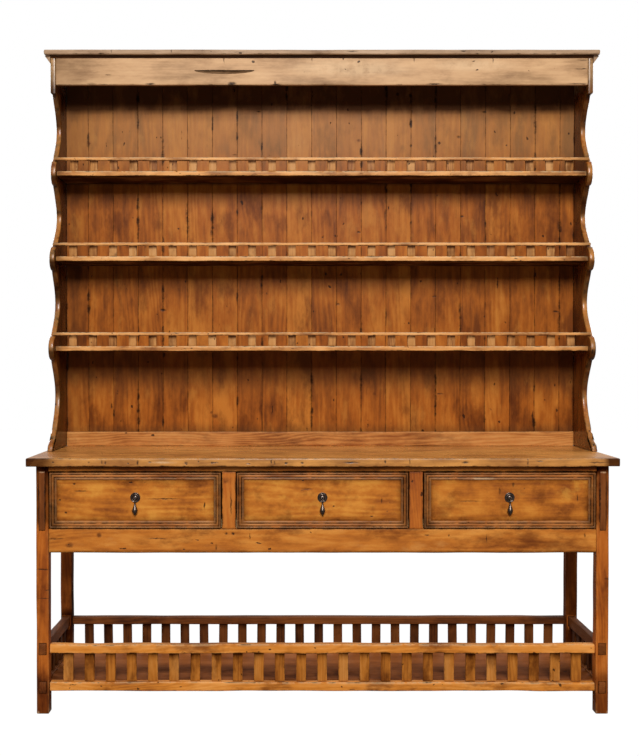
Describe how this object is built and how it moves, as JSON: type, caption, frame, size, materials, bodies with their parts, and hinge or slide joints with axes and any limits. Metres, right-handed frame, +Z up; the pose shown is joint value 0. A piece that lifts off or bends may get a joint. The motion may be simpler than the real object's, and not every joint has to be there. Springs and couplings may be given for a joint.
{
  "type": "welsh dresser",
  "caption": "Open-rack welsh dresser: galleried shelves with scalloped sides and a boarded back over a counter with drawers and a slatted pot board.",
  "frame": {"origin": "on the floor, under the middle of the dresser, at the centre of its overall depth and width", "axes": "+Z up, the front with the drawers faces -Y, +X to the right as seen from the front"},
  "size_m": [2.0606, 0.538, 2.376],
  "materials": {
    "leg_wood": "waxed fruitwood, satin",
    "top_wood": "waxed fruitwood, polished",
    "frame_wood": "waxed fruitwood, satin",
    "gallery_wood": "waxed fruitwood, worn edges",
    "rack_wood": "waxed fruitwood, satin",
    "cornice_wood": "waxed fruitwood, paler",
    "back_wood": "waxed fruitwood planks, satin",
    "drawer_wood": "waxed fruitwood, satin",
    "inner_wood": "bare softwood",
    "pull_metal": "blackened cast metal"
  },
  "bodies": {
    "case": {"leg_front_left": "leg_wood", "leg_front_right": "leg_wood", "leg_rear_left": "leg_wood", "leg_rear_right": "leg_wood", "post_strip_left": "leg_wood", "post_strip_right": "leg_wood", "counter_top": "top_wood", "pot_board": "top_wood", "top_rail": "frame_wood", "apron_rail": "frame_wood", "muntin_left": "frame_wood", "muntin_right": "frame_wood", "side_apron_left": "frame_wood", "side_apron_right": "frame_wood", "back_apron": "frame_wood", "gallery_front_lower_rail": "gallery_wood", "gallery_front_upper_rail": "gallery_wood", "gallery_rear_lower_rail": "gallery_wood", "gallery_rear_upper_rail": "gallery_wood", "gallery_left_lower_rail": "gallery_wood", "gallery_left_upper_rail": "gallery_wood", "gallery_right_lower_rail": "gallery_wood", "gallery_right_upper_rail": "gallery_wood", "shelf_gallery_lower": "gallery_wood", "shelf_gallery_middle": "gallery_wood", "shelf_gallery_upper": "gallery_wood", "rack_side_left": "rack_wood", "rack_side_right": "rack_wood", "shelf_lower": "rack_wood", "shelf_middle": "rack_wood", "shelf_upper": "rack_wood", "back_rail": "rack_wood", "rack_top_board": "cornice_wood", "cornice_cove": "cornice_wood", "cornice_return_left": "cornice_wood", "cornice_return_right": "cornice_wood", "fascia": "cornice_wood", "back_boards": "back_wood", "drawer_runner_left": "inner_wood", "drawer_runner_mid_left": "inner_wood", "drawer_runner_mid_right": "inner_wood", "drawer_runner_right": "inner_wood"},
    "drawer_left": {"drawer_left_front": "drawer_wood", "drawer_left_moulding": "drawer_wood", "drawer_left_box": "inner_wood", "drawer_left_bottom": "inner_wood", "drawer_left_rosette": "pull_metal"},
    "drop_left": {"drawer_left_drop": "pull_metal"},
    "drawer_middle": {"drawer_middle_front": "drawer_wood", "drawer_middle_moulding": "drawer_wood", "drawer_middle_box": "inner_wood", "drawer_middle_bottom": "inner_wood", "drawer_middle_rosette": "pull_metal"},
    "drop_middle": {"drawer_middle_drop": "pull_metal"},
    "drawer_right": {"drawer_right_front": "drawer_wood", "drawer_right_moulding": "drawer_wood", "drawer_right_box": "inner_wood", "drawer_right_bottom": "inner_wood", "drawer_right_rosette": "pull_metal"},
    "drop_right": {"drawer_right_drop": "pull_metal"}
  },
  "joints": [
    {"name": "drawer_left_slide", "type": "slide", "parent": "case", "child": "drawer_left", "axis": [0, -1, 0], "range_m": [0, 0.3]},
    {"name": "drop_left_swing", "type": "hinge", "parent": "drawer_left", "child": "drop_left", "pos_m": [-0.65433, -0.2363, 0.7515], "axis": [-1, 0, 0], "range_deg": [0, 95]},
    {"name": "drawer_middle_slide", "type": "slide", "parent": "case", "child": "drawer_middle", "axis": [0, -1, 0], "range_m": [0, 0.3]},
    {"name": "drop_middle_swing", "type": "hinge", "parent": "drawer_middle", "child": "drop_middle", "pos_m": [-0.007, -0.2363, 0.7515], "axis": [-1, 0, 0], "range_deg": [0, 95]},
    {"name": "drawer_right_slide", "type": "slide", "parent": "case", "child": "drawer_right", "axis": [0, -1, 0], "range_m": [0, 0.3]},
    {"name": "drop_right_swing", "type": "hinge", "parent": "drawer_right", "child": "drop_right", "pos_m": [0.64033, -0.2363, 0.7515], "axis": [-1, 0, 0], "range_deg": [0, 95]}
  ]
}
